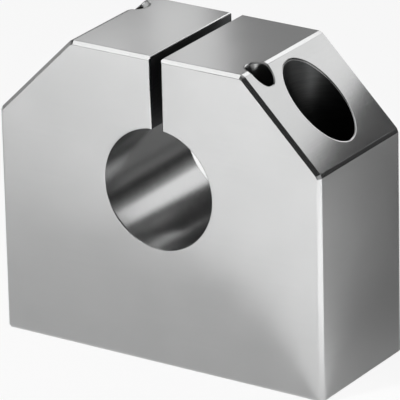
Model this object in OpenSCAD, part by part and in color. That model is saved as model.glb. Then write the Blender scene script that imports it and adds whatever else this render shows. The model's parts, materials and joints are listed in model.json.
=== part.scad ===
// Shaft support block: a one-piece clamping block that holds the end of a round shaft above a base.
// Millimetres, +Z up. The origin is the centre of the mounting face, the shaft runs along Y,
// and the front face is at -Y.

/* [Block] */
// Width of the block, across the shaft
block_width = 60; // [58:0.5:80]
// Depth of the block, along the shaft
block_depth = 24; // [22:0.5:40]
// Height of the block above the mounting face
block_height = 52; // [50:0.5:60]
// Size of each sloped corner, along the top and down the side
corner_slope = 14; // [12:0.5:18]
// Break along the outline of the front and back faces
face_edge_break = 0.6; // [0.2:0.1:1]
// Break along the edges that run from front to back
long_edge_break = 0.4; // [0.2:0.1:1]

/* [Shaft bore and slot] */
// Diameter of the shaft that the bore takes
shaft_diameter = 20; // [12:0.5:24]
// Height of the shaft's centre above the mounting face
shaft_height = 30; // [24:0.5:32]
// Break round both mouths of the bore
bore_edge_break = 0.4; // [0.1:0.1:1]
// Width of the clamping slot above the bore
slot_width = 2; // [1:0.1:3]
// Break along the slot's edges
slot_edge_break = 0.3; // [0.1:0.1:0.5]

/* [Mounting screw holes] */
// Distance between the two mounting screws
screw_spacing = 45; // [42:0.5:46]
// Diameter of each mounting screw's through hole
screw_hole_diameter = 6.6; // [5.5:0.1:9]
// Diameter of each counterbore, which takes a socket head
counterbore_diameter = 11; // [10:0.5:12]
// Height of each screw head's seat above the mounting face
seat_height = 32; // [15:1:36]

/* [Locating pin holes] */
// Diameter of the two pin holes, which lie on one diagonal
pin_hole_diameter = 4.4; // [2:0.1:5]
// Distance between the pin holes, across the shaft
pin_spacing_across = 32.5; // [30:0.5:34]
// Distance between the pin holes, along the shaft
pin_spacing_along = 14.5; // [13.5:0.5:17]

/* [Clamp screw] */
// Outer diameter of the clamp screw's thread
thread_diameter = 4; // [3:0.5:5]
// Length of the clamp screw under its head
thread_length = 20; // [14:1:22]
// Diameter of the clamp screw's head
head_diameter = 7; // [6.5:0.5:8]
// Height of the clamp screw's head
head_height = 4; // [3:0.5:5]
// Width across the flats of the hexagon socket
hex_width = 3; // [2:0.5:4]
// Depth of the hexagon socket
hex_depth = 2; // [1:0.5:2.5]
// Break at the rim of the head and at the end of the thread
screw_edge_break = 0.4; // [0.1:0.1:0.6]
// Thickness of the clamped jaw, from the slot to the seat of the head
jaw_thickness = 7; // [5:0.5:9]

/* [Fits] */
// Gap all round the thread in its tapped hole
thread_gap = 0.05; // [0.01:0.01:0.1]
// Gap between the head and its seat, with the clamp open
seat_gap = 0.05; // [0:0.01:0.3]
// Gap all round the thread where it passes through the clamped jaw
jaw_hole_gap = 0.25; // [0.1:0.05:0.5]
// Gap all round the head in the channel that leads to it
channel_gap = 0.5; // [0.2:0.1:0.6]
// Depth of the tapped hole beyond the end of the clamp screw
tap_run_out = 2; // [1:0.5:3]

/* [Hidden] */
$fn = 96;

// Length by which each cut runs past the faces that it opens
past = 3;
// Rise of a drill's tip for each unit of its radius, for a 118 degree point
drill_tip = tan(31);

bore_top = shaft_height + shaft_diameter / 2;
clamp_height = (bore_top + block_height) / 2;
seat_x = -slot_width / 2 - jaw_thickness;
screw_end_x = seat_x - seat_gap + thread_length;

// Corners of the front outline before they are broken, anticlockwise
side_x = block_width / 2;
slope_x = side_x - corner_slope;
slope_z = block_height - corner_slope;
corners = [
    [-side_x, 0], [side_x, 0], [side_x, slope_z],
    [slope_x, block_height], [-slope_x, block_height], [-side_x, slope_z]
];
corner_count = len(corners);

// The point at a distance from one corner, on the way to another
function on_the_way(from, to, distance) = from + distance * (to - from) / norm(to - from);

// The outline with each corner cut back by the long edges' break
outline = [
    for (i = [0 : corner_count - 1])
        let (corner = corners[i],
             before = corners[(i + corner_count - 1) % corner_count],
             after = corners[(i + 1) % corner_count])
            each [on_the_way(corner, before, long_edge_break),
                  on_the_way(corner, after, long_edge_break)]
];

// Turns a front view, drawn with x across and y up, so that its z points out of the front face
module front_view() {
    rotate([90, 0, 0]) children();
}

// Places a part that is made along z on the clamp screw's axis, pointing along +X
module on_clamp_axis(x) {
    translate([x, 0, clamp_height]) rotate([0, 90, 0]) children();
}

// A wedge that breaks the edge from one outline point to the next, at the front of the front view
module edge_cutter(start, end, size) {
    step = end - start;
    translate([start.x, start.y, block_depth / 2])
        rotate([0, 0, atan2(step.y, step.x)])
            rotate([90, 0, 90])
                translate([0, 0, -past])
                    linear_extrude(norm(step) + 2 * past)
                        polygon([[-past, past], [size + past, past], [-past, -size - past]]);
}

// Breaks that follow the outline round the front and the back
module face_edge_breaks() {
    last = len(outline) - 1;
    for (side = [0, 1], i = [0 : last])
        mirror([0, 0, side])
            edge_cutter(outline[i], outline[i == last ? 0 : i + 1], face_edge_break);
}

// The shaft's bore with a cone at each mouth
module shaft_bore() {
    radius = shaft_diameter / 2;
    flare = bore_edge_break + past;
    translate([0, shaft_height, 0]) {
        cylinder(r = radius, h = block_depth + 2 * past, center = true);
        for (side = [0, 1])
            mirror([0, 0, side])
                translate([0, 0, block_depth / 2 - bore_edge_break])
                    cylinder(r1 = radius, r2 = radius + flare, h = flare);
    }
}

// A vee as wide as the slot and its two edge breaks, with its mouth on the x axis
module slot_vee(length) {
    reach = slot_width / 2 + slot_edge_break;
    linear_extrude(length)
        polygon([[-reach - past, past], [reach + past, past], [0, -reach]]);
}

// The clamping slot from the bore to the top, with the breaks along its edges
module clamping_slot() {
    height = block_height + past - shaft_height;
    translate([-slot_width / 2, -block_depth / 2 - past, shaft_height])
        cube([slot_width, block_depth + 2 * past, height]);
    translate([0, block_depth / 2 + past, block_height])
        rotate([90, 0, 0]) slot_vee(block_depth + 2 * past);
    for (side = [0, 1])
        mirror([0, side, 0])
            translate([0, block_depth / 2, shaft_height]) slot_vee(height);
}

// One mounting screw's through hole and the counterbore that opens on the slope
module mounting_hole() {
    translate([0, 0, -past]) cylinder(d = screw_hole_diameter, h = block_height + 2 * past);
    translate([0, 0, seat_height]) cylinder(d = counterbore_diameter, h = block_height);
}

// The clamp screw's channel, the hole through its jaw and the tapped hole behind the slot
module clamp_screw_holes() {
    thread_radius = thread_diameter / 2;
    tap_radius = thread_radius + thread_gap;
    tap_end_x = screw_end_x + tap_run_out;
    on_clamp_axis(-side_x - past)
        cylinder(d = head_diameter + 2 * channel_gap, h = side_x + past + seat_x);
    on_clamp_axis(seat_x - past) cylinder(r = thread_radius + jaw_hole_gap, h = past - seat_x);
    on_clamp_axis(0) cylinder(r = tap_radius, h = tap_end_x);
    on_clamp_axis(tap_end_x) cylinder(r1 = tap_radius, r2 = 0, h = tap_radius * drill_tip);
}

module block() {
    pin_x = pin_spacing_across / 2;
    pin_y = pin_spacing_along / 2;
    color([0.78, 0.78, 0.78])
        difference() {
            front_view() linear_extrude(block_depth, center = true) polygon(outline);
            front_view() face_edge_breaks();
            front_view() shaft_bore();
            clamping_slot();
            for (x = [-1, 1] * screw_spacing / 2)
                translate([x, 0, 0]) mounting_hole();
            for (end = [-1, 1])
                translate([end * pin_x, -end * pin_y, -past])
                    cylinder(d = pin_hole_diameter, h = block_height + 2 * past);
            clamp_screw_holes();
        }
}

// The hexagon socket, with the shallow cone that its drill leaves
module hex_socket() {
    translate([0, 0, -past]) cylinder(d = hex_width / cos(30), h = past + hex_depth, $fn = 6);
    translate([0, 0, hex_depth]) cylinder(d1 = hex_width, d2 = 0, h = hex_width / 2 * drill_tip);
}

module clamp_screw() {
    head_radius = head_diameter / 2;
    thread_radius = thread_diameter / 2;
    end = head_height + thread_length;
    color([0.2, 0.2, 0.21])
        on_clamp_axis(seat_x - seat_gap - head_height)
            difference() {
                rotate_extrude()
                    polygon([
                        [0, 0], [head_radius - screw_edge_break, 0],
                        [head_radius, screw_edge_break], [head_radius, head_height],
                        [thread_radius, head_height], [thread_radius, end - screw_edge_break],
                        [thread_radius - screw_edge_break, end], [0, end]
                    ]);
                hex_socket();
            }
}

block();
clamp_screw();
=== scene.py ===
import json
import math

import bmesh
import bpy
from mathutils import Matrix, Vector


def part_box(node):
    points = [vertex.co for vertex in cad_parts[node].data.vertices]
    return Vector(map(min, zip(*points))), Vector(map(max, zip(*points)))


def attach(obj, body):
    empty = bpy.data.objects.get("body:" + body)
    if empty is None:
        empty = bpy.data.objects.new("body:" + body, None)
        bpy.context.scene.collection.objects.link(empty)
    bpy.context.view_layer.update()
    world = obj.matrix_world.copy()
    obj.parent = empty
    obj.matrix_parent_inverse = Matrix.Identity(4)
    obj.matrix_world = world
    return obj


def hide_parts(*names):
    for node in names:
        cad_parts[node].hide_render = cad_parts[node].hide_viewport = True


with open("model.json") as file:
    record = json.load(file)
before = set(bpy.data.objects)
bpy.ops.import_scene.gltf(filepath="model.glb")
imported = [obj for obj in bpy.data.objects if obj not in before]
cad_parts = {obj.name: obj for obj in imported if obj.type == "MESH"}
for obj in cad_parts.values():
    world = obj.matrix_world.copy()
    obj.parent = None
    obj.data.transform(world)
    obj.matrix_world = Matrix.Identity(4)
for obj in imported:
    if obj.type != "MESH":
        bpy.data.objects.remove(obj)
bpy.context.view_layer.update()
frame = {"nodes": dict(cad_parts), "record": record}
print("frame loaded:", sorted(frame["nodes"]))

mm = 0.001
drillTip = math.tan(math.radians(31))  # rise of a 118 degree drill's tip for each unit of its radius
mounts = {mount["name"]: mount for mount in frame["record"]["mounts"]}
screwLow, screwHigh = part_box("clamp_screw")


def linearFromHex(hexColour):
    # sRGB to linear, as shaders take it
    channels = [int(hexColour[i:i + 2], 16) / 255 for i in (1, 3, 5)]
    linear = [c / 12.92 if c <= 0.04045 else ((c + 0.055) / 1.055) ** 2.4 for c in channels]
    return (*linear, 1.0)


def addNode(tree, kind, inputs=(), **settings):
    node = tree.nodes.new(kind)
    for name, value in settings.items():
        setattr(node, name, value)
    for name, value in dict(inputs).items():
        if isinstance(value, bpy.types.NodeSocket):
            tree.links.new(value, node.inputs[name])
        else:
            node.inputs[name].default_value = value
    return node


def calculate(tree, operation, *values):
    return addNode(tree, "ShaderNodeMath", dict(enumerate(values)), operation=operation).outputs[0]


def newObject(name, mesh):
    thing = bpy.data.objects.new(name, mesh)
    bpy.context.scene.collection.objects.link(thing)
    return thing


def plainMesh(thing, name):
    # turns what the modifiers give into a mesh of its own
    bpy.context.view_layer.update()
    shown = thing.evaluated_get(bpy.context.evaluated_depsgraph_get())
    mesh = bpy.data.meshes.new_from_object(shown)
    mesh.name = name
    thing.modifiers.clear()
    thing.data = mesh
    return thing


# the camera looks from the front right, a little above; angles are in degrees, the lens and its sensor
# in mm, and the rest in metres
cameraSettings = {
    "azimuth": 33.42, "elevation": 21.94, "roll": -1.28,
    "distance": 0.8317, "lens": 471.1, "sensor": 36.0,
    "aim": Vector((0.0, 0.0, 0.025)),
    "slide": (-0.00001, -0.00085),  # to the right and up, without turning
}


def axesFrom(s):
    # right, up and away for something that looks at its aim; azimuth 0 is the front, 90 the right side
    azimuth, elevation, roll = (math.radians(s[k]) for k in ("azimuth", "elevation", "roll"))
    away = Vector((
        math.sin(azimuth) * math.cos(elevation),
        -math.cos(azimuth) * math.cos(elevation),
        math.sin(elevation),
    ))
    level = Vector((0, 0, 1)).cross(away).normalized()
    upright = away.cross(level)
    right = level * math.cos(roll) + upright * math.sin(roll)
    up = upright * math.cos(roll) - level * math.sin(roll)
    return right, up, away


def makeCamera(s):
    right, up, away = axesFrom(s)
    data = bpy.data.cameras.new("camera")
    data.lens, data.sensor_width = s["lens"], s["sensor"]
    data.clip_start, data.clip_end = 0.01, 20
    camera = newObject("camera", data)
    camera.matrix_world = Matrix((right, up, away)).transposed().to_4x4()
    camera.location = s["aim"] + away * s["distance"] + right * s["slide"][0] + up * s["slide"][1]
    bpy.context.scene.camera = camera


makeCamera(cameraSettings)
print("camera made")


def newMaterial(name, hexColour, metallic, roughness):
    material = bpy.data.materials.new(name)
    material.use_nodes = True
    shader = material.node_tree.nodes["Principled BSDF"]
    shader.inputs["Base Color"].default_value = linearFromHex(hexColour)
    shader.inputs["Metallic"].default_value = metallic
    shader.inputs["Roughness"].default_value = roughness
    return material, material.node_tree, shader


def stretchedNoise(tree, place, size, detail=2.0):
    # noise whose grains have the given size along each axis
    perMetre = [1 / length for length in size]
    scaled = addNode(tree, "ShaderNodeMapping", {"Vector": place, "Scale": perMetre}).outputs[0]
    noise = addNode(tree, "ShaderNodeTexNoise", {"Vector": scaled, "Scale": 1.0, "Detail": detail})
    return noise.outputs[0]


def between(tree, value, low, high):
    return addNode(tree, "ShaderNodeMapRange", {"Value": value, "To Min": low, "To Max": high}).outputs[0]


def tint(tree, value, darkHex, lightHex):
    mix = addNode(tree, "ShaderNodeMix", {0: value}, data_type="RGBA")  # its colours are sockets 6 and 7
    mix.inputs[6].default_value = linearFromHex(darkHex)
    mix.inputs[7].default_value = linearFromHex(lightHex)
    return mix.outputs[2]


def groundSteel():
    # free-cutting steel, surface ground and lightly polished: an even grey with soft clean reflections
    # and a faint straight grain, along the shaft on the sides and top, across it on the two big faces
    material, tree, shader = newMaterial("groundSteel", "#CFCFCF", metallic=1.0, roughness=0.2)
    spot = addNode(tree, "ShaderNodeTexCoord").outputs
    grain, run = 0.22 * mm, 14 * mm  # real grit lines are about 0.05 mm, too fine to show
    alongY = stretchedNoise(tree, spot["Object"], (grain, run, grain))
    alongX = stretchedNoise(tree, spot["Object"], (run, grain, grain))
    facing = addNode(tree, "ShaderNodeSeparateXYZ", {0: spot["Normal"]}).outputs[1]
    isBigFace = calculate(tree, "GREATER_THAN", calculate(tree, "ABSOLUTE", facing), 0.8)  # front or back
    grains = {0: isBigFace, 2: alongY, 3: alongX}  # sockets of a mix of values
    lines = addNode(tree, "ShaderNodeMix", grains, data_type="FLOAT").outputs[0]
    cloud = stretchedNoise(tree, spot["Object"], (9 * mm, 9 * mm, 9 * mm))
    lineShare = 0.35
    cloudPart = calculate(tree, "MULTIPLY", cloud, 1 - lineShare)
    shade = calculate(tree, "MULTIPLY_ADD", lines, lineShare, cloudPart)
    tree.links.new(tint(tree, shade, "#C6C7C7", "#D8D8D8"), shader.inputs["Base Color"])
    tree.links.new(between(tree, shade, 0.15, 0.25), shader.inputs["Roughness"])
    bump = addNode(tree, "ShaderNodeBump", {"Height": lines, "Distance": 0.004 * mm, "Strength": 0.4})
    tree.links.new(bump.outputs[0], shader.inputs["Normal"])
    return material


def honedSteel():
    # the bore, honed to the shaft's size: darker and a little duller than the ground faces, with fine
    # marks round it
    material, tree, shader = newMaterial("honedSteel", "#B4B4B4", metallic=1.0, roughness=0.23)
    spot = addNode(tree, "ShaderNodeTexCoord").outputs["Object"]
    marks = stretchedNoise(tree, spot, (6 * mm, 0.3 * mm, 6 * mm))  # hone marks, drawn coarser than real
    tree.links.new(tint(tree, marks, "#AFB0B0", "#B9B9B9"), shader.inputs["Base Color"])
    tree.links.new(between(tree, marks, 0.21, 0.25), shader.inputs["Roughness"])
    return material


def drilledSteelWithPaintedShade():
    # drilled and counterbored holes: duller from the drill, with rings left by the cutting edges; the
    # colour is darkened as painted shade, so the holes' insides look near black
    material, tree, shader = newMaterial("drilledSteelWithPaintedShade", "#606161", metallic=1.0, roughness=0.38)
    spot = addNode(tree, "ShaderNodeTexCoord").outputs["Object"]
    rings = stretchedNoise(tree, spot, (4 * mm, 4 * mm, 0.25 * mm))  # a drill's feed for each turn
    # the dark tint is painted shade inside the holes, on top of the drill's rings
    tree.links.new(tint(tree, rings, "#525353", "#6E6F6F"), shader.inputs["Base Color"])
    tree.links.new(between(tree, rings, 0.3, 0.46), shader.inputs["Roughness"])
    bump = addNode(tree, "ShaderNodeBump", {"Height": rings, "Distance": 0.01 * mm, "Strength": 0.5})
    tree.links.new(bump.outputs[0], shader.inputs["Normal"])
    return material


def reamedSteel():
    # the pin holes, reamed: clean and smooth, with fine rings
    material, tree, shader = newMaterial("reamedSteel", "#C2C3C3", metallic=1.0, roughness=0.2)
    spot = addNode(tree, "ShaderNodeTexCoord").outputs["Object"]
    rings = stretchedNoise(tree, spot, (6 * mm, 6 * mm, 0.2 * mm))  # drawn coarser than real
    tree.links.new(tint(tree, rings, "#B8B9B9", "#CBCBCB"), shader.inputs["Base Color"])
    tree.links.new(between(tree, rings, 0.15, 0.26), shader.inputs["Roughness"])
    return material


def sawnSteel():
    # walls of the slot, cut with a slitting saw: dark and dull, with arcs left by the teeth
    material, tree, shader = newMaterial("sawnSteel", "#77787A", metallic=1.0, roughness=0.42)
    spot = addNode(tree, "ShaderNodeTexCoord").outputs["Object"]
    toMiddle = (0, 0, 40 * mm)  # the arcs' middle lies this far under the block
    toothFeed = 0.3 * mm  # drawn coarser than real
    centred = addNode(tree, "ShaderNodeMapping", {"Vector": spot, "Location": toMiddle}).outputs[0]
    away = addNode(tree, "ShaderNodeVectorMath", {0: centred}, operation="LENGTH").outputs["Value"]
    arcs = addNode(tree, "ShaderNodeTexNoise", {"W": away, "Scale": 1 / toothFeed}, noise_dimensions="1D")
    marks = arcs.outputs[0]
    tree.links.new(tint(tree, marks, "#666768", "#858687"), shader.inputs["Base Color"])
    tree.links.new(between(tree, marks, 0.34, 0.5), shader.inputs["Roughness"])
    bump = addNode(tree, "ShaderNodeBump", {"Height": marks, "Distance": 0.01 * mm, "Strength": 0.5})
    tree.links.new(bump.outputs[0], shader.inputs["Normal"])
    return material


def blackOxide():
    # hardened screw steel with an oiled black oxide finish: near black, with a dull shine
    material, tree, shader = newMaterial("blackOxide", "#3A3A3C", metallic=1.0, roughness=0.42)
    spot = addNode(tree, "ShaderNodeTexCoord").outputs["Object"]
    cloud = stretchedNoise(tree, spot, (0.6 * mm, 0.6 * mm, 0.6 * mm), detail=4.0)
    tree.links.new(tint(tree, cloud, "#2F2F31", "#474749"), shader.inputs["Base Color"])
    tree.links.new(between(tree, cloud, 0.34, 0.5), shader.inputs["Roughness"])
    return material


# the block's overall size and the holes that are mounts come from the frame
blockSettings = {
    "cornerSlope": 14 * mm,
    "faceEdgeBreak": 0.6 * mm, "longEdgeBreak": 0.4 * mm,
    "slotWidth": 2 * mm,
    "counterbore": 5.5 * mm, "seatHeight": 32 * mm,  # radius, and height of the screws' seats
    "pinsAcross": 32.5 * mm,  # distance between the pin holes across the shaft
    "jawHole": 2.25 * mm, "channel": 4.0 * mm, "tappedHole": 2.05 * mm,  # radii round the clamp screw
    "jawThickness": 7 * mm,  # from the slot to the seat of the clamp screw's head
    "tapRunOut": 2 * mm,
    "fineRound": 0.1 * mm,  # the last sharpness taken off every outer edge
    "roundAbove": math.radians(15), "smoothBelow": math.radians(50),  # angles between faces
    "boreRim": 0.25 * mm, "slotRim": 0.3 * mm, "holeRim": 0.3 * mm, "footRim": 0.2 * mm,
    "rimSteps": 4,
    "boreSides": 192, "holeSides": 128,
    "past": 3 * mm,  # length by which each cutter runs past the faces it opens
}
boreRadius = mounts["shaft_bore"]["dims"]["r_mm"] * mm
boreHeight = mounts["shaft_bore"]["pos_m"][2]
pinRadius = mounts["locating_pins"]["dims"]["hole_r_mm"] * mm
pinSpread = mounts["locating_pins"]["dims"]["pcd_mm"] * mm


def brokenCorners(corners, size):
    points = []
    for i, corner in enumerate(corners):
        for other in (corners[i - 1], corners[(i + 1) % len(corners)]):
            points.append(corner + (other - corner).normalized() * size)
    return points


def insetOutline(points, size):
    # moves each side of a convex, anticlockwise outline inwards
    inset = []
    for i, point in enumerate(points):
        before = (point - points[i - 1]).normalized()
        after = (points[(i + 1) % len(points)] - point).normalized()
        normals = [Vector((-d.y, d.x)) for d in (before, after)]
        middle = (normals[0] + normals[1]).normalized()
        inset.append(point + middle * (size / middle.dot(normals[0])))
    return inset


def pinCentres(s):
    # the two pin holes lie on one diagonal, back left and front right
    x = s["pinsAcross"] / 2
    y = math.sqrt((pinSpread / 2) ** 2 - x ** 2)
    return [Vector((side * x, -side * y, 0)) for side in (-1, 1)]


def loft(name, rings, place):
    # closed skin over rings of points, moved to its place; a ring of one point is a tip
    bm = bmesh.new()
    loops = [[bm.verts.new(place @ Vector(point)) for point in ring] for ring in rings]
    count = max(len(loop) for loop in loops)
    for low, high in zip(loops, loops[1:]):
        for i in range(count):
            j = (i + 1) % count
            corners = [low[i % len(low)], low[j % len(low)], high[j % len(high)], high[i % len(high)]]
            bm.faces.new(list(dict.fromkeys(corners)))  # three corners where a side is a tip
    for loop in (loops[0], loops[-1]):
        if len(loop) > 1:
            bm.faces.new(loop)
    bmesh.ops.recalc_face_normals(bm, faces=bm.faces)
    mesh = bpy.data.meshes.new(name)
    bm.to_mesh(mesh)
    bm.free()
    return newObject(name, mesh)


def circle(radius, along, sides):
    turns = [2 * math.pi * i / sides for i in range(sides)]
    return [Vector((radius * math.cos(t), radius * math.sin(t), along)) for t in turns]


def lathe(name, profile, sides, place):
    # profile: (radius, distance along the axis); a radius of 0 is a tip
    rings = [circle(r, along, sides) if r else [Vector((0, 0, along))] for r, along in profile]
    return loft(name, rings, place)


def roundedRim(wall, rim, face, steps):
    # points of a soft break from the hole's wall over its rim to the face, run on a little past it
    runOn = 0.4  # share of the last step
    curve = []
    for i in range(steps):
        t = i / (steps - 1)
        curve.append(wall * (1 - t) ** 2 + rim * (2 * t * (1 - t)) + face * t ** 2)
    curve.append(curve[-1] + (curve[-1] - curve[-2]) * runOn)
    return curve


def boreCutter(s, frontY, backY, place):
    # along the bore, from the front's flared mouth to the back's
    size = s["boreRim"]
    points = ((boreRadius, backY - size), (boreRadius, backY), (boreRadius + size, backY))
    curve = roundedRim(*(Vector(point) for point in points), s["rimSteps"])
    back = [(p.x, p.y) for p in curve] + [(curve[-1].x, backY + s["past"])]
    front = [(r, frontY + backY - along) for r, along in reversed(back)]
    return lathe("bore", front + back, s["boreSides"], place)


def wellCutter(name, s, centre, profile, openHeight):
    # an upright hole through the block, whose profile is radii and heights from the foot up;
    # openHeight(x) is the height of the surface that it opens on
    sides, size = s["holeSides"], s["holeRim"]
    radius = profile[-1][0]
    foot = profile[0][0]
    rings = [circle(foot + s["footRim"] + s["past"], -s["past"], sides), circle(foot, s["footRim"], sides)]
    rings += [circle(r, along, sides) for r, along in profile]
    columns = []
    for flat in circle(1.0, 0, sides):
        wallX, faceX = centre.x + flat.x * radius, centre.x + flat.x * (radius + size)
        rim = flat * radius + Vector((0, 0, openHeight(wallX)))
        face = flat * (radius + size) + Vector((0, 0, openHeight(faceX)))
        columns.append(roundedRim(rim - Vector((0, 0, size)), rim, face, s["rimSteps"]))
    rings += [list(ring) for ring in zip(*columns)]
    rings.append([Vector((p.x, p.y, openHeight(0) + s["past"])) for p in rings[-1]])
    return loft(name, rings, Matrix.Translation(centre))


def prism(name, outline, axis, low, high):
    # an outline drawn in the two other axes, run from low to high along one
    a, b = [i for i in range(3) if i != axis]
    rings = []
    for along in (low, high):
        ring = []
        for first, second in outline:
            point = Vector((0, 0, 0))
            point[a], point[b], point[axis] = first, second, along
            ring.append(point)
        rings.append(ring)
    return loft(name, rings, Matrix())


def slotCutters(s, frontY, backY, low, top):
    # the slot, and a vee along each of its open edges
    half, size, past = s["slotWidth"] / 2, s["slotRim"], s["past"]
    reach = half + size
    sides = [(-half, frontY - past), (half, frontY - past), (half, backY + past), (-half, backY + past)]
    cutters = [prism("slot", sides, 2, low, top + past)]
    for y, out in ((frontY, -1), (backY, 1)):
        vee = [(-reach - past, y + out * past), (reach + past, y + out * past), (0, y - out * reach)]
        cutters.append(prism("slotMouth", vee, 2, low, top + past))
    vee = [(-reach - past, top + past), (reach + past, top + past), (0, top - reach)]
    cutters.append(prism("slotTop", vee, 1, frontY - past, backY + past))
    return cutters


def makeBlock(s):
    low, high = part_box("block")
    sideX, height, frontY, backY = high.x, high.z, low.y, high.y
    slopeX, slopeZ = sideX - s["cornerSlope"], height - s["cornerSlope"]
    corners = [Vector(c) for c in (
        (-sideX, 0), (sideX, 0), (sideX, slopeZ), (slopeX, height), (-slopeX, height), (-sideX, slopeZ),
    )]
    outline = brokenCorners(corners, s["longEdgeBreak"])
    inner = insetOutline(outline, s["faceEdgeBreak"])
    loops = [
        (frontY, inner), (frontY + s["faceEdgeBreak"], outline),
        (backY - s["faceEdgeBreak"], outline), (backY, inner),
    ]
    rings = [[Vector((p.x, y, p.y)) for p in points] for y, points in loops]
    block = loft("supportBlock", rings, Matrix())
    soften = block.modifiers.new("fineRound", "BEVEL")
    soften.limit_method, soften.angle_limit = "ANGLE", s["roundAbove"]
    soften.width, soften.segments = s["fineRound"], 2

    screws = mounts["mounting_screws"]["dims"]
    clampHeight = (screwLow.z + screwHigh.z) / 2
    seatX = -s["slotWidth"] / 2 - s["jawThickness"]
    tapEnd = screwHigh.x + s["tapRunOut"]
    past = s["past"]

    # the top's height on the way across: top, broken edge, slope
    edgeX = slopeX - s["longEdgeBreak"]
    across = s["longEdgeBreak"] * math.sqrt(0.5)

    def topHeight(x):
        x = abs(x)
        onSlope = height - (x - slopeX)
        onBreak = height - (x - edgeX) * across / (s["longEdgeBreak"] + across)
        return min(height, onSlope, onBreak)

    alongY = Matrix.Translation((0, 0, boreHeight)) @ Matrix.Rotation(-math.pi / 2, 4, "X")
    alongX = Matrix.Translation((0, 0, clampHeight)) @ Matrix.Rotation(math.pi / 2, 4, "Y")
    cutters = [boreCutter(s, frontY, backY, alongY)]
    cutters += slotCutters(s, frontY, backY, boreHeight, height)
    for side in (-1, 1):
        centre = Vector((side * screws["spacing_x_mm"] * mm / 2, 0, 0))
        profile = [(screws["hole_r_mm"] * mm, s["seatHeight"]), (s["counterbore"], s["seatHeight"])]
        cutters.append(wellCutter("screwHole", s, centre, profile, topHeight))
    for centre in pinCentres(s):
        cutters.append(wellCutter("pinHole", s, centre, [(pinRadius, height / 2)], topHeight))
    cutters.append(lathe("clampHoles", [
        (s["channel"], -sideX - past), (s["channel"], seatX), (s["jawHole"], seatX), (s["jawHole"], 0),
        (s["tappedHole"], 0), (s["tappedHole"], tapEnd), (0, tapEnd + s["tappedHole"] * drillTip),
    ], s["holeSides"], alongX))

    for cutter in cutters:
        cut = block.modifiers.new(cutter.name, "BOOLEAN")
        cut.operation, cut.solver, cut.object = "DIFFERENCE", "EXACT", cutter
    plainMesh(block, "supportBlock")
    for cutter in cutters:
        bpy.data.objects.remove(cutter)
    return block


def sortFaces(block, s):
    # materials by face: 0 outside, 1 bore, 2 drilled and counterbored holes, 3 slot, 4 pin holes
    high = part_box("block")[1]
    slack = 0.05 * mm  # how far a face's centre may lie from the true surface
    level, square = 0.01, 0.999  # how well a face is in line with an axis, and across one
    skin = max(s["boreRim"], s["holeRim"], s["footRim"]) + slack
    slopeSum = high.x - s["cornerSlope"] + high.z
    pinHoles = [centre.xy for centre in pinCentres(s)]
    for face in block.data.polygons:
        spot, normal = face.center, face.normal
        inside = min(
            high.x - abs(spot.x), high.y - abs(spot.y), spot.z, high.z - spot.z,
            (slopeSum - abs(spot.x) - spot.z) * math.sqrt(0.5),
        )
        fromAxis = math.hypot(spot.x, spot.z - boreHeight)
        inward = normal.x * spot.x + normal.z * (spot.z - boreHeight) < 0
        inPinHole = any((spot.xy - hole).length < pinRadius + slack for hole in pinHoles)
        if inside < skin:
            face.material_index = 0
        elif fromAxis < boreRadius + slack and abs(normal.y) < level and inward:
            face.material_index = 1
        elif abs(normal.x) > square and abs(abs(spot.x) - s["slotWidth"] / 2) < slack:
            face.material_index = 3
        elif inPinHole and abs(normal.z) < level:
            face.material_index = 4
        else:
            face.material_index = 2


def shadeSoftly(thing, angle):
    # smooth over soft breaks, sharp at real corners, flat faces kept flat
    sliver = 0.0005 * mm  # the cuts leave a few edges shorter than this
    bm = bmesh.new()
    bm.from_mesh(thing.data)
    bmesh.ops.dissolve_degenerate(bm, dist=sliver, edges=bm.edges)
    for edge in bm.edges:
        edge.smooth = len(edge.link_faces) == 2 and edge.calc_face_angle(0) < angle
    for face in bm.faces:
        face.smooth = True
    bm.to_mesh(thing.data)
    bm.free()
    even = thing.modifiers.new("evenNormals", "WEIGHTED_NORMAL")
    even.keep_sharp, even.weight = True, 80
    plainMesh(thing, thing.name)


block = makeBlock(blockSettings)
sortFaces(block, blockSettings)
for material in (groundSteel(), honedSteel(), drilledSteelWithPaintedShade(), sawnSteel(), reamedSteel()):
    block.data.materials.append(material)
shadeSoftly(block, blockSettings["smoothBelow"])
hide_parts("block")
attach(block, "block")
print("block finished:", len(block.data.polygons), "faces")


# an M4 socket head screw; the frame gives its length, its head's diameter and its place
clampScrewSettings = {
    "headHeight": 4 * mm, "rimBreak": 0.4 * mm, "footBreak": 0.15 * mm,
    "hexWidth": 3 * mm, "hexDepth": 2 * mm, "hexMouth": 0.12 * mm, "mouthSides": 48,
    "knurlTeeth": 48, "knurlDepth": 0.12 * mm, "knurlMargin": 0.05 * mm,
    "pitch": 0.7 * mm, "threadDepth": 0.43 * mm, "threadRadius": 2 * mm,
    "threadFlat": 0.14,  # share of each half pitch that is flat at the crest, and again at the root
    "leadIn": 0.4 * mm, "plainNeck": 0.8 * mm,
    "stepsPerTurn": 8, "threadSides": 48,
    "smoothBelow": math.radians(40),
}


def newTree(name, inputs):
    tree = bpy.data.node_groups.new(name, "GeometryNodeTree")
    tree.interface.new_socket(name="Geometry", in_out="INPUT", socket_type="NodeSocketGeometry")
    for label, kind in inputs:
        tree.interface.new_socket(name=label, in_out="INPUT", socket_type="NodeSocket" + kind)
    tree.interface.new_socket(name="Geometry", in_out="OUTPUT", socket_type="NodeSocketGeometry")
    return tree, addNode(tree, "NodeGroupInput").outputs


def finishTree(tree, geometry, material):
    solid = addNode(tree, "GeometryNodeRealizeInstances", {"Geometry": geometry})
    painted = addNode(tree, "GeometryNodeSetMaterial", {"Geometry": solid.outputs[0], "Material": material})
    addNode(tree, "NodeGroupOutput", {"Geometry": painted.outputs[0]})


def applyTree(thing, tree, values):
    modifier = thing.modifiers.new(tree.name, "NODES")
    modifier.node_group = tree
    for item in tree.interface.items_tree:
        if item.in_out == "INPUT" and item.name in values:
            modifier[item.identifier] = values[item.name]
    return plainMesh(thing, thing.name)


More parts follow.
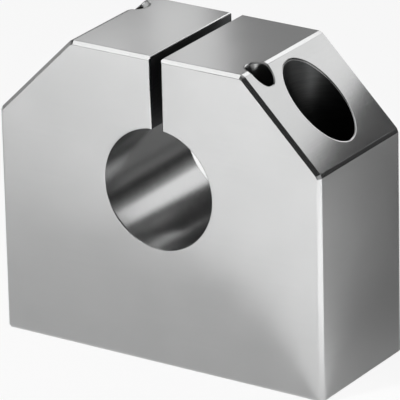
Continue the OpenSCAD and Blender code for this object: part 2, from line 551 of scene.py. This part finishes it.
def aroundAxis(tree, axisHeight):
    # place along the screw, turns round it, distance from it and the way outwards; the screw lies along X
    point = addNode(tree, "GeometryNodeInputPosition").outputs[0]
    place = addNode(tree, "ShaderNodeSeparateXYZ", {0: point}).outputs
    up = calculate(tree, "SUBTRACT", place[2], axisHeight)
    turn = calculate(tree, "DIVIDE", calculate(tree, "ARCTAN2", place[1], up), 2 * math.pi)
    flat = addNode(tree, "ShaderNodeCombineXYZ", {1: place[1], 2: up}).outputs[0]
    distance = addNode(tree, "ShaderNodeVectorMath", {0: flat}, operation="LENGTH").outputs["Value"]
    outwards = addNode(tree, "ShaderNodeVectorMath", {0: flat}, operation="NORMALIZE").outputs[0]
    return place[0], turn, distance, outwards


def moveAlong(tree, geometry, direction, distance):
    offset = addNode(
        tree, "ShaderNodeVectorMath", {0: direction, "Scale": distance}, operation="SCALE",
    ).outputs[0]
    return addNode(tree, "GeometryNodeSetPosition", {"Geometry": geometry, "Offset": offset}).outputs[0]


def knurlTree():
    # presses straight grooves into the side of a round head
    tree, given = newTree("headKnurl", [
        ("Teeth", "Float"), ("Depth", "Float"), ("Axis height", "Float"), ("Side radius", "Float"),
        ("From", "Float"), ("To", "Float"), ("Material", "Material"),
    ])
    along, turn, distance, outwards = aroundAxis(tree, given["Axis height"])
    wave = calculate(tree, "PINGPONG", calculate(tree, "MULTIPLY", turn, given["Teeth"]), 0.5)  # 0 to 0.5
    groove = calculate(tree, "MULTIPLY", calculate(tree, "MULTIPLY", wave, -2.0), given["Depth"])
    onSide = calculate(tree, "GREATER_THAN", distance, given["Side radius"])
    pastFrom = calculate(tree, "GREATER_THAN", along, given["From"])
    beforeTo = calculate(tree, "LESS_THAN", along, given["To"])
    inBand = calculate(tree, "MULTIPLY", onSide, calculate(tree, "MULTIPLY", pastFrom, beforeTo))
    pressed = moveAlong(tree, given["Geometry"], outwards, calculate(tree, "MULTIPLY", groove, inBand))
    finishTree(tree, pressed, given["Material"])
    return tree


def threadTree():
    # cuts a V thread into a plain shank made here, from Start along X
    tree, given = newTree("screwThread", [
        ("Radius", "Float"), ("Pitch", "Float"), ("Depth", "Float"), ("Flat", "Float"),
        ("Start", "Float"), ("Length", "Float"), ("Neck", "Float"), ("Lead in", "Float"),
        ("Axis height", "Float"), ("Sides", "Int"), ("Rings", "Int"), ("Material", "Material"),
    ])
    rod = addNode(tree, "GeometryNodeMeshCylinder", {
        "Vertices": given["Sides"], "Side Segments": given["Rings"],
        "Radius": given["Radius"], "Depth": given["Length"],
    }).outputs["Mesh"]
    middle = calculate(tree, "MULTIPLY_ADD", given["Length"], 0.5, given["Start"])
    where = addNode(tree, "ShaderNodeCombineXYZ", {0: middle, 2: given["Axis height"]}).outputs[0]
    laid = addNode(tree, "GeometryNodeTransform", {
        "Geometry": rod, "Translation": where, "Rotation": (0, math.pi / 2, 0),
    }).outputs[0]
    along, turn, _, outwards = aroundAxis(tree, given["Axis height"])
    end = calculate(tree, "ADD", given["Start"], given["Length"])
    phase = calculate(tree, "SUBTRACT", calculate(tree, "DIVIDE", along, given["Pitch"]), turn)
    wave = calculate(tree, "MULTIPLY", calculate(tree, "PINGPONG", phase, 0.5), 2.0)
    flankEnd = calculate(tree, "SUBTRACT", 1.0, given["Flat"])
    groove = addNode(tree, "ShaderNodeMapRange", {
        "Value": wave, "From Min": given["Flat"], "From Max": flankEnd,
    }).outputs[0]
    threaded = addNode(tree, "ShaderNodeMapRange", {  # the groove runs out before the neck
        "Value": calculate(tree, "SUBTRACT", along, given["Start"]),
        "From Min": given["Neck"], "From Max": calculate(tree, "ADD", given["Neck"], given["Pitch"]),
    }).outputs[0]
    cut = calculate(tree, "MULTIPLY", calculate(tree, "MULTIPLY", groove, threaded), given["Depth"])
    toEnd = calculate(tree, "SUBTRACT", end, along)
    bevel = calculate(tree, "MAXIMUM", calculate(tree, "SUBTRACT", given["Lead in"], toEnd), 0.0)
    inwards = calculate(tree, "MULTIPLY", calculate(tree, "MAXIMUM", cut, bevel), -1.0)
    threadedRod = moveAlong(tree, laid, outwards, inwards)
    finishTree(tree, threadedRod, given["Material"])
    return tree


def screwHead(s, radius, place):
    # the head's blank with its socket, from the face that the key enters
    height, rim, foot, margin = s["headHeight"], s["rimBreak"], s["footBreak"], s["knurlMargin"]
    sides = 4 * s["knurlTeeth"]
    shallow, deep = rim * 0.12, rim * 0.45  # the rounded rim passes through these
    profile = [
        (radius - rim, 0), (radius - deep, shallow), (radius - shallow, deep), (radius, rim),
        (radius, rim + margin), (radius, height - foot - margin), (radius, height - foot),
        (radius - foot, height),
    ]
    head = lathe("clampScrewHead", profile, sides, place)
    corner = s["hexWidth"] / 2 / math.cos(math.radians(30))
    mouth = s["hexMouth"]
    socket = lathe("socket", [
        (corner, -height), (corner, s["hexDepth"]), (0, s["hexDepth"] + corner * drillTip),
    ], 6, place)
    flare = lathe("flare", [
        (corner + mouth + height, -height), (corner - mouth, 2 * mouth),
    ], s["mouthSides"], place)
    for cutter in (socket, flare):
        cut = head.modifiers.new(cutter.name, "BOOLEAN")
        cut.operation, cut.solver, cut.object = "DIFFERENCE", "EXACT", cutter
    plainMesh(head, "clampScrewHead")
    for cutter in (socket, flare):
        bpy.data.objects.remove(cutter)
    return head


def makeClampScrew(s, material):
    radius = (screwHigh.z - screwLow.z) / 2
    axisHeight = (screwHigh.z + screwLow.z) / 2
    startX, endX = screwLow.x, screwHigh.x
    place = Matrix.Translation((startX, 0, axisHeight)) @ Matrix.Rotation(math.pi / 2, 4, "Y")
    head = screwHead(s, radius, place)
    halfway = s["knurlMargin"] / 2  # the rings at the rims stay, and the next ones are pressed
    applyTree(head, knurlTree(), {
        "Teeth": float(s["knurlTeeth"]), "Depth": s["knurlDepth"], "Axis height": axisHeight,
        "Side radius": radius - s["knurlMargin"], "Material": material,
        "From": startX + s["rimBreak"] + halfway, "To": startX + s["headHeight"] - s["footBreak"] - halfway,
    })
    shankStart = startX + (s["headHeight"] + s["hexDepth"]) / 2  # inside the head, by the socket's tip
    length = endX - shankStart
    shank = newObject("clampScrewShank", bpy.data.meshes.new("clampScrewShank"))
    applyTree(shank, threadTree(), {
        "Radius": s["threadRadius"], "Pitch": s["pitch"], "Depth": s["threadDepth"],
        "Flat": s["threadFlat"], "Start": shankStart, "Length": length, "Lead in": s["leadIn"],
        "Neck": startX + s["headHeight"] - shankStart + s["plainNeck"], "Axis height": axisHeight,
        "Sides": s["threadSides"], "Rings": round(length / s["pitch"] * s["stepsPerTurn"]),
        "Material": material,
    })
    join = head.modifiers.new("shank", "BOOLEAN")
    join.operation, join.solver, join.object = "UNION", "EXACT", shank
    plainMesh(head, "clampScrew")
    head.name = "clampScrew"
    bpy.data.objects.remove(shank)
    return head


clampScrew = makeClampScrew(clampScrewSettings, blackOxide())
shadeSoftly(clampScrew, clampScrewSettings["smoothBelow"])
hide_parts("clamp_screw")
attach(clampScrew, "clamp_screw")
print("clamp screw finished:", len(clampScrew.data.polygons), "faces")


studioSettings = {
    "floorHalfSize": 3.0, "paper": "#EAEAEA",
    "cameraShare": 0.9,  # how far the paper is lifted to plain white for the camera; a faint shadow stays
    "metalShare": 0.08,  # the same for what metal reflects
    "surroundings": 0.035,  # dim room around the lamps
}

# each lamp looks at its aim from its azimuth and elevation, in degrees; its distance is in metres,
# and its aim, size and radius are in mm
usualLamp = {"kind": "AREA", "roll": 0, "aim": (0, 0, 30)}  # unless a lamp's own settings say otherwise
# these light the paper only: metal doesn't show them
paperLamps = {
    "frontKey": {"azimuth": 335, "elevation": 20, "distance": 0.573, "size": (76, 76), "radiance": 228},
    "backSpot": {
        "kind": "SPOT", "azimuth": 140, "elevation": 37, "distance": 0.55, "aim": (9, -92, 0),
        "cone": 15.5, "blend": 0.5, "radius": 30, "watts": 11.4,
    },
    "edgeSpot": {
        "kind": "SPOT", "azimuth": 60, "elevation": 32, "distance": 0.5, "aim": (112, -63, 0),
        "cone": 9, "blend": 0.5, "radius": 15, "watts": 20,
    },
    "sideSpot": {
        "kind": "SPOT", "azimuth": 147, "elevation": 30, "distance": 0.5, "aim": (77, 50, 0),
        "cone": 4, "blend": 1, "radius": 10, "watts": 2.7,
    },
}
# large dim ones for metal only: they light no paper, so the block's shadow stays as it is
roomLamps = {
    "overhead": {"azimuth": 0, "elevation": 88, "distance": 0.9, "size": (800, 800), "radiance": 0.45},
    "atFront": {"azimuth": 0, "elevation": 16, "distance": 0.9, "size": (800, 400), "radiance": 0.4},
    "atRight": {"azimuth": 72, "elevation": 14, "distance": 0.9, "size": (1000, 360), "radiance": 0.4},
    "highFront": {"azimuth": 335, "elevation": 44, "distance": 0.9, "size": (500, 400), "radiance": 0.4},
    "atLeft": {"azimuth": 270, "elevation": 16, "distance": 0.9, "size": (800, 400), "radiance": 0.4},
}
# smaller soft boxes nearer the block, each for one face or edge
nearLamps = {
    "topFront": {"azimuth": 305, "elevation": 51, "distance": 0.719, "size": (163, 163), "radiance": 1.66},
    "topBase": {
        "azimuth": 213, "elevation": 25, "distance": 0.036, "aim": (0, 0, 52),
        "size": (48, 18.5), "radiance": 0.265,
    },
    "topBack": {
        "azimuth": 223, "elevation": 28, "roll": 6, "distance": 0.201, "aim": (-20, 0, 52),
        "size": (80, 46), "radiance": 0.7,
    },
    "topStripe": {
        "azimuth": 213, "elevation": 24, "roll": 11, "distance": 0.12, "aim": (-1, 0, 52),
        "size": (12, 46), "radiance": 0.58,
    },
    "ridge": {
        "azimuth": 187, "elevation": 40, "distance": 0.06, "aim": (16, 0, 52),
        "size": (20, 27), "radiance": 1.5,
    },
    "slope": {
        "azimuth": 157, "elevation": 38, "roll": -21, "distance": 0.06, "aim": (23, 0, 45),
        "size": (36, 25), "radiance": 1.03,
    },
    "lowBack": {
        "azimuth": 148, "elevation": 16, "roll": 15, "distance": 0.5,
        "size": (71, 167), "radiance": 0.51,
    },
    "boreBox": {
        "azimuth": 157, "elevation": 27, "roll": 57, "distance": 0.08, "aim": (-7, 0, 23),
        "size": (25, 36), "radiance": 1.5,
    },
}


def makeLamp(name, settings, onPaper, inMetal):
    s = {**usualLamp, **settings}
    right, up, away = axesFrom(s)
    data = bpy.data.lights.new(name, s["kind"])
    if s["kind"] == "AREA":
        data.shape = "RECTANGLE"
        data.size, data.size_y = (length * mm for length in s["size"])
        data.energy = math.pi * data.size * data.size_y * s["radiance"]  # power that gives this radiance
    else:
        data.spot_size, data.spot_blend = math.radians(s["cone"]), s["blend"]
        data.shadow_soft_size, data.energy = s["radius"] * mm, s["watts"]
    lamp = newObject(name, data)
    lamp.matrix_world = Matrix((right, up, away)).transposed().to_4x4()
    lamp.location = Vector(s["aim"]) * mm + away * s["distance"]
    lamp.visible_camera, lamp.visible_diffuse, lamp.visible_glossy = False, onPaper, inMetal


def makeFloor(s):
    bm = bmesh.new()
    bmesh.ops.create_grid(bm, x_segments=1, y_segments=1, size=s["floorHalfSize"])
    mesh = bpy.data.meshes.new("floor")
    bm.to_mesh(mesh)
    bm.free()
    floor = newObject("floor", mesh)
    material = bpy.data.materials.new("whitePaper")
    material.use_nodes = True
    tree = material.node_tree
    tree.nodes.clear()
    paper = addNode(tree, "ShaderNodeBsdfDiffuse", {"Color": linearFromHex(s["paper"])})
    glow = addNode(tree, "ShaderNodeEmission", {"Strength": 1.0})
    path = addNode(tree, "ShaderNodeLightPath").outputs
    reflected = calculate(tree, "MAXIMUM", path["Is Glossy Ray"], path["Is Transmission Ray"])
    share = calculate(
        tree, "MULTIPLY_ADD", path["Is Camera Ray"], s["cameraShare"],
        calculate(tree, "MULTIPLY", reflected, s["metalShare"]),
    )
    mix = addNode(tree, "ShaderNodeMixShader", {0: share, 1: paper.outputs[0], 2: glow.outputs[0]})
    addNode(tree, "ShaderNodeOutputMaterial", {"Surface": mix.outputs[0]})
    mesh.materials.append(material)


def makeWorld(s):
    # white behind the paper for the camera, a dim room for everything else
    world = bpy.data.worlds.new("studio")
    bpy.context.scene.world = world
    world.use_nodes = True
    tree = world.node_tree
    background = tree.nodes["Background"]
    background.inputs["Color"].default_value = linearFromHex("#FFFFFF")
    seen = addNode(tree, "ShaderNodeLightPath").outputs["Is Camera Ray"]
    tree.links.new(between(tree, seen, s["surroundings"], 1.0), background.inputs["Strength"])


makeFloor(studioSettings)
makeWorld(studioSettings)
# lamps, whether they light the paper, and whether metal shows them
lampGroups = ((paperLamps, True, False), (roomLamps, False, True), (nearLamps, True, True))
for lamps, onPaper, inMetal in lampGroups:
    for name, settings in lamps.items():
        makeLamp(name, settings, onPaper, inMetal)
bpy.context.scene.view_settings.view_transform = "Standard"
print("studio made:", sum(len(group[0]) for group in lampGroups), "lamps")
